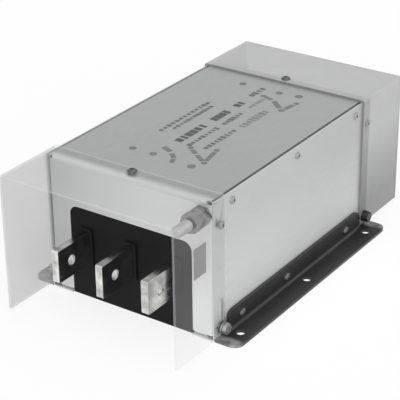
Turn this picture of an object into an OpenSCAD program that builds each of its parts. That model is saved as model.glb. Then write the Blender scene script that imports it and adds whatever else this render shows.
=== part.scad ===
// Three-phase EMI line filter with flat busbar terminals, two mounting
// rails and a clear folded hood over the terminals at each end.
// X runs across the busbars, Y along them, Z up from the mounting plane.
// The origin is the centre of the base. The rear end is the front end
// turned half a turn about Z.

/* [Case] */
// Length of the case between its two end faces
case_l = 300; // [280:5:360]
// Width of the case over its side walls
case_w = 200; // [196:2:240]
// Height of the case from the mounting plane to the top of the cover
case_h = 150; // [148:1:170]
// Thickness of the case sheet
sheet_t = 1.5; // [1:0.25:2]
// Outside radius of the sheet bends
bend_r = 3; // [2.5:0.25:4]
// Sideways play of the cover and end plates inside the side walls
fold_play = 0.5; // [0.1:0.05:0.6]

/* [Cover] */
// Height of the lip folded down over each end plate
lip_h = 5; // [4.5:0.5:9]
// Depth of the cover's flanges inside the side walls
cover_flange_h = 22; // [18:1:30]
// Gap between the cover's flanges and the end plates' flanges
bend_clear = 1; // [0.5:0.5:4]
// How far the side walls stop below the top of the cover, which is also
// the inside radius of the hoods' bends over them
wall_drop = 0.25; // [0.25:0.25:2]
// Distance of the outer cover screws from the flanges' ends
cover_screw_in = 12; // [6:1:30]
// Depth of the cover screws below the top
cover_screw_drop = 10; // [9:1:16]

/* [End plates] */
// Room beside the outer busbars in the terminal opening
opening_side = 16; // [10:1:16]
// Height of the terminal opening, which is open at the base
opening_h = 100; // [92:1:102]
// Radius of the opening's two upper corners
opening_r = 10; // [6:1:16]
// Depth of the folded flanges behind the end plates
plate_flange = 16; // [14:1:18]

/* [Terminal insulators] */
// How far the insulator's face is set back from the end plate's
insulator_set = 0.5; // [0:0.25:1]
// Depth of the insulator's body along the busbars
insulator_d = 7; // [6:0.5:10]
// How far the insulator's flange reaches past the opening
insulator_rim = 8; // [6:1:10]
// Thickness of that flange
insulator_rim_t = 4; // [3:0.5:5]
// Play between an insulator and the sheet round it
insulator_play = 0.3; // [0.2:0.05:0.6]
// Height of the collar round each busbar
collar_h = 2; // [1:0.5:5]
// Wall of the collar round each busbar
collar_wall = 4; // [3:0.5:6]
// Play between a busbar and its slots
bar_play = 0.2; // [0.1:0.05:0.4]

/* [Busbars] */
// Thickness of a busbar
bar_t = 8; // [5:1:10]
// Height of a busbar, which stands on edge
bar_h = 35; // [25:1:36]
// Room between an outer busbar and the round end of the cores' window
bar_room = 12; // [10:1:16]
// Height of the busbars' centre line above the mounting plane
bar_z = 58; // [56:1:60]
// How far a busbar stands out of the case at each end
bar_reach = 48; // [36:1:60]
// Diameter of the terminal hole
bar_hole_d = 11; // [9:0.5:13]
// Distance of the terminal hole from the busbar's end
bar_hole_in = 20; // [14:1:24]
// Chamfer on the corners of the busbar's ends
bar_chamfer = 1; // [0.5:0.5:3]

/* [Earth studs] */
// Diameter of the earth stud
stud_d = 12; // [8:1:12]
// Gap between the stud's nuts and the plane of the case side
stud_side_gap = 2; // [1.5:0.5:4]
// Gap between the stud's nuts and the cover's lip
stud_lip_gap = 0.5; // [0.5:0.5:4]
// Diameter at the root of the stud's thread, where the nuts sit
stud_root_d = 11; // [9.5:0.25:11]
// Length of the stud in front of the end plate
stud_l = 45; // [38:1:50]
// Width across flats of the nuts
stud_nut_af = 18; // [13:1:18]
// Thickness of the nuts
stud_nut_h = 10; // [6.5:0.5:10]
// Outside diameter of the washers
stud_washer_d = 20; // [16:1:21]
// Thickness of the washers
stud_washer_t = 2; // [1.5:0.5:2.5]
// Thickness of the spring washer
spring_washer_t = 2.5; // [2:0.5:3]

/* [Terminal hoods] */
// How far each hood stands out over the terminals
hood_reach = 66; // [60:1:90]
// How far each hood overlaps the case beyond its fixings
hood_edge = 8; // [6:0.5:10]
// Thickness of the clear sheet
hood_t = 2.5; // [2:0.25:4]
// Gap between the hood's sides and the mounting plane
hood_lift = 4; // [4:0.5:8]
// Gap between the hood's nuts and the end plate's bend
hood_nut_gap = 0.2; // [0.2:0.1:2]
// Height of the hood's lower bolts
hood_bolt_z = 13; // [12:0.5:16]
// Depth of the hood's upper side screws below the top
hood_screw_drop = 26; // [22:1:40]

/* [Mounting rails] */
// Thickness of the angle rails
rail_t = 3; // [2.5:0.5:3.5]
// Height of the rail's upright leg
rail_leg_h = 24; // [21:1:28]
// Width of the rail's foot
rail_foot_w = 27; // [24:1:32]
// Gap between the hood's edge and the rail's upright leg
rail_gap = 1; // [0.5:0.5:6]
// Radius of the rail's rounded corners
rail_corner_r = 11; // [6:1:12]
// Distance of the outer mounting holes from the rail's ends
mount_in = 25; // [16:1:50]
// Distance of the mounting holes from the case side
mount_out = 14; // [12:0.5:18]
// Diameter of the mounting holes
mount_hole_d = 9; // [6.5:0.5:11]
// Height of the rail screws
rail_screw_z = 12; // [11.5:0.5:14]
// Distance of the front rail screw from the upright leg's end
rail_screw_front_in = 26; // [20:1:40]
// Distance of the middle rail screw from the middle of the case
rail_screw_mid = 22; // [0:1:30]
// Distance of the rear rail screw from the upright leg's end
rail_screw_rear_in = 32; // [20:1:40]

/* [Choke] */
// Thickness of each choke core along the busbars
core_l = 40; // [30:1:40]
// Gap between the two cores
core_gap = 6; // [4:1:10]
// Radial build of the core
core_build = 16; // [10:1:16]
// Room between the cores and the case's side walls
core_side_room = 12.5; // [12.5:0.5:16]
// Wall of the spacer above and below the busbars
window_wall = 5; // [4:0.5:6]
// Play between a core and the pieces that hold it
core_play = 0.3; // [0.2:0.05:0.5]
// Height of the cradle's cheeks above the core's lowest line
cradle_cheek = 20; // [12:1:26]
// Thickness of the steel straps over the cores
strap_t = 2; // [1.5:0.25:2.5]
// Width of the steel straps
strap_w = 16; // [12:1:20]
// Gap between the straps' feet and the case's side walls
strap_foot_gap = 2.2; // [1:0.1:3]

/* [Capacitor boards] */
// Thickness of the capacitor boards
board_t = 2; // [1.6:0.2:3]
// Gap between the boards and the case's side walls
board_side_gap = 8.5; // [6:0.5:10]
// Distance of a board's outer edge from the end face
board_in = 15; // [13:1:16]
// Gap between a board and the core beside it
board_core_gap = 9; // [4:1:14]
// Height of the posts between busbars and board
post_h = 13; // [10:1:16]
// Width across flats of the posts
post_af = 8; // [7:0.5:8]
// Distance of the posts from the end face
post_in = 50; // [48:0.5:52]
// Gap between the components along the board
part_gap = 2; // [1:0.5:4]
// Gap between the capacitors across the board
cap_gap = 8; // [4:1:12]
// Gap between the capacitors and the cover
cap_top_gap = 10.5; // [4:0.5:20]
// Length, depth and height of the capacitors to earth
y_cap = [26, 18, 24];
// Corner radius of the capacitors
cap_r = 2; // [1:0.5:4]
// Diameter of the discharge resistors
resistor_d = 5; // [3:0.5:5]
// Length of the discharge resistors
resistor_l = 18; // [12:1:24]
// Distance of the discharge resistors from the board's inner edge
resistor_in = 4.5; // [3:0.5:6]
// Width of the brackets that carry the boards
bracket_w = 14; // [10:1:16]
// Height of the brackets
bracket_h = 14; // [10:1:20]
// How far the brackets reach under the boards
bracket_lap = 7.5; // [6.5:0.5:10]
// Distance of the brackets' screws from their ends
bracket_edge = 4; // [3.5:0.5:5]

/* [Fasteners] */
// Thread diameter of the cover screws
cover_screw_d = 4; // [3:0.5:5]
// Thread diameter of the rail screws
rail_screw_d = 5; // [4:0.5:6]
// Thread diameter of the screw on top of each hood
hood_screw_d = 5; // [4:0.5:6]
// Thread diameter of the hood's upper side screws
side_screw_d = 4; // [3:0.5:5]
// Thread diameter of the hood's lower bolts
hood_bolt_d = 6; // [4:1:8]
// Width across flats of the lower bolts' heads
hood_bolt_af = 10; // [8:1:13]
// Diameter of the flange under the lower bolts' heads
hood_bolt_flange = 12.5; // [10:0.5:13]
// Thickness of the washers under the lower bolts
bolt_washer_t = 1.6; // [1:0.2:2.4]
// Thread diameter of the screws on the boards
board_screw_d = 4; // [3:0.5:4]
// How far the board screws reach into the busbars
post_screw_in = 8; // [5:1:12]
// Thread diameter of the strap screws
strap_screw_d = 5; // [3:0.5:5]
// Diameter of the strap screws' heads
strap_screw_head_d = 7; // [6:0.5:7]
// Height of the strap screws' heads
strap_screw_head_h = 3; // [2:0.5:4]
// Diameter of the rivets that hold the end plates
rivet_d = 4; // [3:0.5:5]
// Height of the lower rivets
rivet_low_z = 43; // [30:1:50]
// Height of the upper rivets
rivet_high_z = 77; // [66:1:96]
// Diameter of the rivets' inner heads
rivet_head_d = 7; // [5:0.5:9]
// Thickness of the rivets' inner heads
rivet_head_t = 1; // [0.8:0.1:2]
// Width across flats of the nuts on the cover and upper hood screws
small_nut_af = 7; // [5.5:0.5:8]
// Thickness of those nuts
small_nut_h = 3.2; // [2.4:0.1:4]
// Width across flats of the nuts on the rail and top hood screws
large_nut_af = 8; // [7:0.5:9]
// Thickness of those nuts
large_nut_h = 4; // [3.2:0.1:5]
// Thickness of the nuts on the hood's lower bolts
hood_nut_h = 5; // [4:0.2:6]
// Thickness of the flange under the lower bolts' heads
bolt_flange_t = 1.4; // [1:0.1:2]
// How far a screw stands out of its nut
screw_end = 1.5; // [0.5:0.5:2]
// Radial play of a screw in its hole
screw_play = 0.15; // [0.05:0.05:0.3]
// Play between a rivet's head and the sheet behind it
rivet_play = 0.2; // [0:0.1:0.4]

/* [Hidden] */
$fn = 48;
cut = 1;

half_l = case_l / 2;
half_w = case_w / 2;
inner_w = case_w - 2 * sheet_t;
fold_w = inner_w - 2 * fold_play;
top_z = case_h - sheet_t;
plate_y = -half_l + sheet_t;
plate_back = plate_y + sheet_t;
plug_y = plate_y + insulator_set;
plug_back = plug_y + insulator_d;
rim_z = sheet_t + bend_r + insulator_play;
wall_top = case_h - wall_drop;
flange_x = fold_w / 2 - sheet_t;
cover_edge_h = bend_r + sheet_t / 2;

core_half_w = inner_w / 2 - core_side_room;
window_half_w = core_half_w - core_build;
bar_pitch = window_half_w - bar_room - bar_t / 2;
bar_top = bar_z + bar_h / 2;
bar_l = case_l + 2 * bar_reach;
bar_xs = [-bar_pitch, 0, bar_pitch];
opening_w = 2 * (bar_pitch + bar_t / 2 + opening_side);

stud_r = max(stud_washer_d, stud_nut_af / cos(30)) / 2;
stud_x = half_w - stud_side_gap - stud_r;
stud_z = case_h - lip_h - stud_lip_gap - stud_r;
stud_head_d = stud_d + 3;
stud_head_h = 3;
stud_tip = 1;
washer_y = plate_y - stud_nut_h;
spring_y = washer_y - stud_washer_t;
outer_nut_y = spring_y - spring_washer_t;

hood_fix_in = sheet_t + bend_r + hood_nut_gap + hood_bolt_af / 2;
hood_fix_y = -half_l + hood_fix_in;
hood_lap = hood_fix_in + hood_edge;
hood_screw_z = case_h - hood_screw_drop;
hood_grip = half_w + hood_t - flange_x;
cover_screw_z = case_h - cover_screw_drop;
cover_flange_l = case_l - 2 * (2 * sheet_t + plate_flange + bend_clear);
cover_screw_pitch = cover_flange_l / 2 - cover_screw_in;
cover_screw_ys = [-cover_screw_pitch, 0, cover_screw_pitch];

rail_leg_l = case_l - 2 * (hood_lap + rail_gap);
rail_screw_ys = [
    -rail_leg_l / 2 + rail_screw_front_in,
    -rail_screw_mid,
    rail_leg_l / 2 - rail_screw_rear_in
];
mount_x = half_w + mount_out;
mount_pitch = half_l - mount_in;
mount_ys = [-mount_pitch, 0, mount_pitch];

window_half_h = bar_h / 2 + window_wall;
core_half_h = window_half_h + core_build;
core_low = bar_z - core_half_h;
core_y = (core_gap + core_l) / 2;
spacer_l = core_l + core_gap / 2;
strap_in_w = core_half_w + core_play;
strap_top = bar_z + core_half_h + core_play;
strap_out_w = strap_in_w + strap_t;
strap_foot = inner_w / 2 - strap_foot_gap - strap_out_w;
strap_foot_x = strap_out_w + strap_foot / 2;

board_z = bar_top + post_h;
board_top = board_z + board_t;
board_w = inner_w - 2 * board_side_gap;
board_d = half_l - spacer_l - board_in - board_core_gap;
board_y = -half_l + board_in + board_d / 2;
post_y = -half_l + post_in;
cap_pitch = board_w / 3;
y_cap_y = post_y - board_screw_d - part_gap - y_cap[1] / 2;
resistor_y = board_y + board_d / 2 - resistor_in;
x_cap_front = post_y + board_screw_d + part_gap;
x_cap_back = resistor_y - resistor_d / 2 - part_gap;
x_cap = [cap_pitch - cap_gap, x_cap_back - x_cap_front, top_z - cap_top_gap - board_top];
bracket_reach = board_side_gap + bracket_lap;
bracket_hole_x = inner_w / 2 - bracket_reach + bracket_edge;

steel = "lightsteelblue";
plated = "silver";
black_steel = [0.16, 0.16, 0.17];
black_plastic = [0.10, 0.10, 0.11];
clear_sheet = [0.85, 0.88, 0.90, 0.45];
tinned = "gainsboro";

// ---------- shared shapes ----------

// The rear end is the front end turned half a turn
module at_end(rear) {
    rotate([0, 0, rear ? 180 : 0]) children();
}

module both_ends() {
    for (rear = [false, true]) at_end(rear) children();
}

// Rectangle standing on the X axis with rounded upper corners
module arch(w, h, r) {
    translate([-w / 2, 0]) square([w, h - r]);
    translate([-w / 2 + r, 0]) square([w - 2 * r, h]);
    for (s = [-1, 1]) translate([s * (w / 2 - r), h - r]) intersection() {
        circle(r);
        translate([-r, 0]) square([2 * r, r]);
    }
}

// Section of a folded channel with its web at the top
module channel(w, h, t, r) {
    difference() {
        arch(w, h, r);
        translate([0, -cut]) arch(w - 2 * t, h - t + cut, r - t);
    }
}

// Long hole or ring outline with half-round ends
module racetrack(half_width, half_height) {
    square([2 * (half_width - half_height), 2 * half_height], center = true);
    for (s = [-1, 1]) translate([s * (half_width - half_height), 0]) circle(half_height);
}

module rounded_rect(w, h, r) {
    square([w - 2 * r, h], center = true);
    square([w, h - 2 * r], center = true);
    for (sx = [-1, 1], sy = [-1, 1])
        translate([sx * (w / 2 - r), sy * (h / 2 - r)]) circle(r);
}

// Extrudes an X-Z section along Y, from y0 over a length l
module along_y(y0, l) {
    translate([0, y0 + l, 0]) rotate([90, 0, 0]) linear_extrude(l) children();
}

// Extrudes a Y-Z section along X, centred, over a length l
module along_x(l) {
    rotate([90, 0, 90]) linear_extrude(l, center = true) children();
}

// Section of a quarter bend: web hangs down from the corner, flange runs to +X
module angle_section(leg, flange, t, r) {
    translate([0, -leg]) square([t, leg - r]);
    translate([r, -t]) square([flange - r, t]);
    translate([r, -r]) intersection() {
        difference() {
            circle(r);
            circle(r - t);
        }
        translate([-r, 0]) square(r);
    }
}

// Hexagonal prism along Z
module hex_prism(af, h) {
    cylinder(h = h, d = af / cos(30), $fn = 6);
}

module hex_nut(af, h, bore_d) {
    difference() {
        hex_prism(af, h);
        translate([0, 0, -cut]) cylinder(h = h + 2 * cut, d = bore_d);
    }
}

// Domed screw along +Z: the head stands on z = 0, the shank hangs below it
module pan_screw(d, shank) {
    head_h = 0.6 * d;
    rim_h = 0.2 * d;
    head_r = d;
    dome_r = (head_r * head_r + pow(head_h - rim_h, 2)) / (2 * (head_h - rim_h));
    cylinder(h = rim_h, r = head_r);
    translate([0, 0, rim_h]) intersection() {
        translate([0, 0, head_h - rim_h - dome_r]) sphere(dome_r);
        cylinder(h = head_h, r = head_r);
    }
    translate([0, 0, -shank]) cylinder(h = shank, d = d);
}

function hole_d(d) = d + 2 * screw_play;

// Turns a +Z shape so that it points out of a side wall
module on_side(s, x, y, z) {
    translate([s * x, y, z]) rotate([0, s * 90, 0]) children();
}

module side_hole(y, z, d) {
    translate([0, y, z]) rotate([0, 90, 0]) cylinder(h = 2 * case_w, d = d, center = true);
}

// ---------- case ----------

module tray_section() {
    translate([0, wall_top]) mirror([0, 1]) channel(case_w, wall_top, sheet_t, bend_r);
}

module hood_fixing_holes() {
    both_ends() {
        side_hole(hood_fix_y, hood_bolt_z, hole_d(hood_bolt_d));
        side_hole(hood_fix_y, hood_screw_z, hole_d(side_screw_d));
    }
}

module case_tray() {
    notch_d = plug_back + half_l + insulator_play;
    color(steel) difference() {
        along_y(-half_l, case_l) tray_section();
        both_ends() translate([-opening_w / 2, -half_l - cut, -cut])
            cube([opening_w, notch_d + cut, sheet_t + 2 * cut]);
        hood_fixing_holes();
        for (y = cover_screw_ys) side_hole(y, cover_screw_z, hole_d(cover_screw_d));
        for (y = rail_screw_ys) side_hole(y, rail_screw_z, hole_d(rail_screw_d));
        both_ends() rivet_places() cylinder(h = 4 * sheet_t, d = hole_d(rivet_d), center = true);
        for (x = [-1, 1], y = [-core_y, core_y]) translate([x * strap_foot_x, y, -cut])
            cylinder(h = sheet_t + 2 * cut, d = hole_d(strap_screw_d));
    }
}

module cover_lip() {
    translate([0, -half_l, case_h])
        along_x(fold_w - 4 * bend_r) angle_section(lip_h, 2 * bend_r, sheet_t, bend_r);
}

module top_cover() {
    color(steel) difference() {
        union() {
            along_y(-half_l + bend_r, case_l - 2 * bend_r)
                translate([0, case_h - cover_edge_h]) channel(fold_w, cover_edge_h, sheet_t, bend_r);
            along_y(-cover_flange_l / 2, cover_flange_l)
                translate([0, case_h - cover_flange_h])
                    channel(fold_w, cover_flange_h, sheet_t, bend_r);
            both_ends() cover_lip();
        }
        for (y = cover_screw_ys) side_hole(y, cover_screw_z, hole_d(cover_screw_d));
        both_ends() translate([0, hood_fix_y, case_h - 2 * sheet_t])
            cylinder(h = 3 * sheet_t, d = hole_d(hood_screw_d));
    }
}

// Places of the rivets that join an end plate to both side walls
module rivet_places() {
    for (s = [-1, 1], z = [rivet_low_z, rivet_high_z])
        on_side(s, half_w, hood_fix_y, z) children();
}

module end_plate() {
    leg_w = (fold_w - opening_w) / 2;
    foot_w = leg_w - 3 * bend_r;
    difference() {
        union() {
            translate([0, plate_y + plate_flange, sheet_t + bend_r])
                linear_extrude(top_z - 2 * bend_r - sheet_t)
                    mirror([0, 1]) channel(fold_w, plate_flange, sheet_t, bend_r);
            translate([0, plate_y, top_z])
                along_x(fold_w - 4 * bend_r)
                    angle_section(2 * bend_r, plate_flange, sheet_t, bend_r);
            for (s = [-1, 1]) translate([s * (opening_w / 2 + foot_w / 2 + bend_r / 2), plate_y, sheet_t])
                mirror([0, 0, 1])
                    along_x(foot_w) angle_section(2 * bend_r, plate_flange, sheet_t, bend_r);
        }
        along_y(plate_y - cut, 2 * bend_r) arch(opening_w, opening_h, opening_r);
        side_hole(hood_fix_y, hood_bolt_z, hole_d(hood_bolt_d));
        side_hole(hood_fix_y, hood_screw_z, hole_d(side_screw_d));
        rivet_places() cylinder(h = 8 * sheet_t, d = hole_d(rivet_d), center = true);
        translate([0, hood_fix_y, case_h - 4 * sheet_t])
            cylinder(h = 4 * sheet_t, d = hole_d(hood_screw_d));
        translate([stud_x, plate_y - cut, stud_z]) rotate([-90, 0, 0])
            cylinder(h = sheet_t + 2 * cut, d = hole_d(stud_d));
    }
}

// ---------- terminals ----------

module bar_section(play) {
    square([bar_t + 2 * play, bar_h + 2 * play], center = true);
}

module insulator() {
    rim_w = opening_w + 2 * insulator_rim;
    color(black_plastic) difference() {
        union() {
            along_y(plug_y, insulator_d)
                arch(opening_w - 2 * insulator_play, opening_h - insulator_play,
                     opening_r - insulator_play);
            along_y(plate_back, insulator_rim_t)
                translate([0, rim_z])
                    arch(rim_w, opening_h + insulator_rim - rim_z, opening_r + insulator_rim);
            for (x = bar_xs) along_y(plug_y - collar_h, collar_h + cut)
                translate([x, bar_z])
                    rounded_rect(bar_t + 2 * collar_wall, bar_h + 2 * collar_wall, collar_wall);
        }
        for (x = bar_xs) along_y(plug_y - collar_h - cut, insulator_d + collar_h + 2 * cut)
            translate([x, bar_z]) bar_section(bar_play);
    }
}

module busbar(x) {
    color(tinned) difference() {
        translate([x, 0, bar_z]) rotate([90, 0, 90])
            linear_extrude(bar_t, center = true) difference() {
                square([bar_l, bar_h], center = true);
                for (sx = [-1, 1], sy = [-1, 1])
                    translate([sx * bar_l / 2, sy * bar_h / 2]) rotate(45)
                        square(bar_chamfer * sqrt(2), center = true);
            }
        for (s = [-1, 1]) translate([x, s * (bar_l / 2 - bar_hole_in), bar_z])
            rotate([0, 90, 0]) cylinder(h = bar_t + 2 * cut, d = bar_hole_d, center = true);
        for (s = [-1, 1]) translate([x, s * post_y, bar_top - post_screw_in - screw_end])
            cylinder(h = bar_h, d = hole_d(board_screw_d));
    }
}

module earth_stud() {
    free_l = outer_nut_y - stud_nut_h - (plate_y - stud_l);
    color(plated) translate([stud_x, plate_back, stud_z]) rotate([-90, 0, 0]) {
        translate([0, 0, -sheet_t - stud_l]) {
            cylinder(h = stud_tip, d1 = stud_d - 2 * stud_tip, d2 = stud_d);
            translate([0, 0, stud_tip]) cylinder(h = free_l - stud_tip, d = stud_d);
            translate([0, 0, free_l]) cylinder(h = stud_l - free_l + cut, d = stud_root_d);
        }
        translate([0, 0, -sheet_t]) cylinder(h = sheet_t, d = stud_d);
        cylinder(h = stud_head_h, d = stud_head_d);
    }
}

// Ring on the stud: a hexagon or a round, from y towards the front
module on_stud(y) {
    translate([stud_x, y, stud_z]) rotate([90, 0, 0]) children();
}

module earth_inner_nuts() {
    color(plated) both_ends() on_stud(plate_y)
        hex_nut(stud_nut_af, stud_nut_h, hole_d(stud_root_d));
}

module ring(outer_d, inner_d, h) {
    difference() {
        cylinder(h = h, d = outer_d);
        translate([0, 0, -cut]) cylinder(h = h + 2 * cut, d = inner_d);
    }
}

module earth_washers() {
    color(plated) both_ends() on_stud(washer_y)
        ring(stud_washer_d, hole_d(stud_d) + 0.4, stud_washer_t);
}

// Split ring with a slanted cut
module earth_spring_washers() {
    color(plated) both_ends() on_stud(spring_y) difference() {
        ring(stud_washer_d - 1, hole_d(stud_d) + 0.2, spring_washer_t);
        translate([stud_washer_d / 2 - 1, 0, spring_washer_t / 2]) rotate([30, 0, 0])
            cube([stud_washer_d / 2, 1.2, 4 * spring_washer_t], center = true);
    }
}

module earth_outer_nuts() {
    color(plated) both_ends() on_stud(outer_nut_y) rotate(15)
        hex_nut(stud_nut_af, stud_nut_h, hole_d(stud_root_d));
}

// ---------- hoods ----------

module hood() {
    hood_w = case_w + 2 * hood_t;
    hood_h = case_h + hood_t - hood_lift;
    color(clear_sheet) difference() {
        along_y(-half_l - hood_reach, hood_reach + hood_lap)
            translate([0, hood_lift]) channel(hood_w, hood_h, hood_t, hood_t + wall_drop);
        side_hole(hood_fix_y, hood_bolt_z, hole_d(hood_bolt_d));
        side_hole(hood_fix_y, hood_screw_z, hole_d(side_screw_d));
        translate([0, hood_fix_y, case_h - cut])
            cylinder(h = hood_t + 2 * cut, d = hole_d(hood_screw_d));
    }
}

// ---------- mounting rails ----------

module mounting_rail(s) {
    color(black_steel) difference() {
        mirror([s < 0 ? 1 : 0, 0, 0]) translate([half_w, 0, 0]) {
            translate([0, 0, rail_t]) rotate([90, 0, 90]) linear_extrude(rail_t)
                arch(rail_leg_l, rail_leg_h - rail_t, rail_corner_r);
            linear_extrude(rail_t) rotate(-90)
                arch(case_l, rail_foot_w, rail_corner_r);
            translate([rail_t, 0, rail_t]) rotate([90, 0, 0])
                linear_extrude(rail_leg_l, center = true) difference() {
                    square(rail_t);
                    translate([rail_t, rail_t]) circle(rail_t);
                }
        }
        for (y = mount_ys) translate([s * mount_x, y, -cut])
            cylinder(h = rail_t + 2 * cut, d = mount_hole_d);
        for (y = rail_screw_ys) side_hole(y, rail_screw_z, hole_d(rail_screw_d));
    }
}

// ---------- fasteners ----------

module cover_screws() {
    color(plated) for (s = [-1, 1], y = cover_screw_ys)
        on_side(s, half_w, y, cover_screw_z)
            pan_screw(cover_screw_d, half_w - flange_x + small_nut_h + screw_end);
}

module cover_nuts() {
    color(plated) for (s = [-1, 1], y = cover_screw_ys)
        on_side(s, flange_x - small_nut_h, y, cover_screw_z)
            hex_nut(small_nut_af, small_nut_h, hole_d(cover_screw_d));
}

module rail_screws() {
    color(plated) for (s = [-1, 1], y = rail_screw_ys)
        on_side(s, half_w + rail_t, y, rail_screw_z)
            pan_screw(rail_screw_d, rail_t + sheet_t + large_nut_h + screw_end);
}

module rail_nuts() {
    color(plated) for (s = [-1, 1], y = rail_screw_ys)
        on_side(s, inner_w / 2 - large_nut_h, y, rail_screw_z)
            hex_nut(large_nut_af, large_nut_h, hole_d(rail_screw_d));
}

module hood_top_screws() {
    color(plated) both_ends() translate([0, hood_fix_y, case_h + hood_t])
        pan_screw(hood_screw_d, hood_t + 2 * sheet_t + large_nut_h + screw_end);
}

module hood_top_nuts() {
    color(plated) both_ends() translate([0, hood_fix_y, top_z - sheet_t - large_nut_h])
        hex_nut(large_nut_af, large_nut_h, hole_d(hood_screw_d));
}

module hood_side_screws() {
    color(plated) both_ends() for (s = [-1, 1])
        on_side(s, half_w + hood_t, hood_fix_y, hood_screw_z)
            pan_screw(side_screw_d, hood_grip + small_nut_h + screw_end);
}

module hood_side_nuts() {
    color(plated) both_ends() for (s = [-1, 1])
        on_side(s, flange_x - small_nut_h, hood_fix_y, hood_screw_z)
            hex_nut(small_nut_af, small_nut_h, hole_d(side_screw_d));
}

module hood_bolts() {
    shank = hood_grip + bolt_washer_t + hood_nut_h + screw_end;
    color(black_steel) both_ends() for (s = [-1, 1])
        on_side(s, half_w + hood_t + bolt_washer_t, hood_fix_y, hood_bolt_z) {
            cylinder(h = bolt_flange_t, d = hood_bolt_flange);
            rotate(30) hex_prism(hood_bolt_af, hood_bolt_d);
            translate([0, 0, -shank]) cylinder(h = shank, d = hood_bolt_d);
        }
}

module hood_bolt_washers() {
    color(black_steel) both_ends() for (s = [-1, 1])
        on_side(s, half_w + hood_t, hood_fix_y, hood_bolt_z)
            ring(hood_bolt_flange, hole_d(hood_bolt_d) + 0.2, bolt_washer_t);
}

module hood_bolt_nuts() {
    color(plated) both_ends() for (s = [-1, 1])
        on_side(s, flange_x - hood_nut_h, hood_fix_y, hood_bolt_z)
            hex_nut(hood_bolt_af, hood_nut_h, hole_d(hood_bolt_d));
}

// Countersunk rivets, flush with the side walls under the hoods
module plate_rivets() {
    color(plated) both_ends() rivet_places() {
        rivet_l = half_w - flange_x + rivet_play + rivet_head_t;
        translate([0, 0, -rivet_l]) {
            cylinder(h = rivet_l, d = rivet_d);
            cylinder(h = rivet_head_t, d = rivet_head_d);
        }
    }
}

// ---------- choke ----------

module choke_core(rear) {
    color("dimgray") at_end(rear) along_y(-core_y - core_l / 2, core_l)
        translate([0, bar_z]) difference() {
            racetrack(core_half_w, core_half_h);
            racetrack(window_half_w, window_half_h);
        }
}

module bar_spacer(rear) {
    color("ivory") at_end(rear) along_y(-core_y - core_l / 2, spacer_l)
        translate([0, bar_z]) difference() {
            racetrack(window_half_w - core_play, window_half_h - core_play);
            for (x = bar_xs) translate([x, 0]) bar_section(bar_play);
        }
}

module core_cradle() {
    cradle_l = 2 * core_l + core_gap;
    cheek_h = core_low + cradle_cheek - sheet_t;
    color("ivory") along_y(-cradle_l / 2, cradle_l) difference() {
        translate([-core_half_w, sheet_t]) square([2 * core_half_w, cheek_h]);
        translate([0, bar_z]) racetrack(core_half_w + core_play, core_half_h + core_play);
    }
}

module core_strap(rear) {
    foot_w = strap_t + strap_foot;
    color(plated) at_end(rear) difference() {
        along_y(-core_y - strap_w / 2, strap_w) {
            translate([0, sheet_t])
                channel(2 * strap_out_w, strap_top + strap_t - sheet_t, strap_t,
                        core_half_h + core_play + strap_t);
            for (s = [-1, 1]) translate([s * (strap_in_w + foot_w / 2), sheet_t + strap_t / 2])
                square([foot_w, strap_t], center = true);
        }
        for (s = [-1, 1]) translate([s * strap_foot_x, -core_y, 0])
            cylinder(h = strap_top, d = hole_d(strap_screw_d));
    }
}

module strap_screws() {
    color(plated) for (s = [-1, 1], y = [-core_y, core_y])
        translate([s * strap_foot_x, y, sheet_t + strap_t]) {
            cylinder(h = strap_screw_head_h, d = strap_screw_head_d);
            translate([0, 0, -strap_t - sheet_t]) cylinder(h = strap_t + sheet_t, d = strap_screw_d);
        }
}

// ---------- capacitor boards ----------

module capacitor_board(rear) {
    color("darkolivegreen") at_end(rear) difference() {
        translate([0, board_y, board_z]) linear_extrude(board_t)
            rounded_rect(board_w, board_d, 3);
        for (x = bar_xs) translate([x, post_y, board_z - cut])
            cylinder(h = board_t + 2 * cut, d = hole_d(board_screw_d));
        for (s = [-1, 1]) translate([s * bracket_hole_x, y_cap_y, board_z - cut])
            cylinder(h = board_t + 2 * cut, d = hole_d(board_screw_d));
    }
}

module can(size) {
    linear_extrude(size[2]) rounded_rect(size[0], size[1], cap_r);
}

module x_capacitor(rear, i) {
    color("goldenrod") at_end(rear)
        translate([(i - 2) * cap_pitch, (x_cap_front + x_cap_back) / 2, board_top]) can(x_cap);
}

module y_capacitors(rear) {
    color("royalblue") at_end(rear) for (i = [-1:1])
        translate([i * cap_pitch, y_cap_y, board_top]) can(y_cap);
}

module resistors(rear) {
    color("tan") at_end(rear) for (i = [-1:1])
        translate([i * cap_pitch, resistor_y, board_top + resistor_d / 2])
            rotate([0, 90, 0]) cylinder(h = resistor_l, d = resistor_d, center = true);
}

module board_posts() {
    color(plated) both_ends() for (x = bar_xs)
        translate([x, post_y, bar_top])
            hex_nut(post_af, post_h, hole_d(board_screw_d));
}

module board_screws() {
    color(plated) both_ends() {
        for (x = bar_xs) translate([x, post_y, board_top])
            pan_screw(board_screw_d, board_t + post_h + post_screw_in);
        for (s = [-1, 1]) translate([s * bracket_hole_x, y_cap_y, board_top])
            pan_screw(board_screw_d, board_t + sheet_t + screw_end);
    }
}

// Angle brackets welded inside the side walls, which carry the boards and earth them
module board_brackets(rear) {
    color(plated) at_end(rear) difference() {
        for (s = [-1, 1]) mirror([s < 0 ? 1 : 0, 0, 0])
            translate([inner_w / 2, y_cap_y, board_z]) mirror([1, 0, 0])
                rotate([90, 0, 0]) linear_extrude(bracket_w, center = true)
                    angle_section(bracket_h, bracket_reach, sheet_t, 2 * sheet_t);
        for (s = [-1, 1]) translate([s * bracket_hole_x, y_cap_y, board_z - 2 * sheet_t])
            cylinder(h = 3 * sheet_t, d = hole_d(board_screw_d));
    }
}

// ---------- nodes ----------

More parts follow.
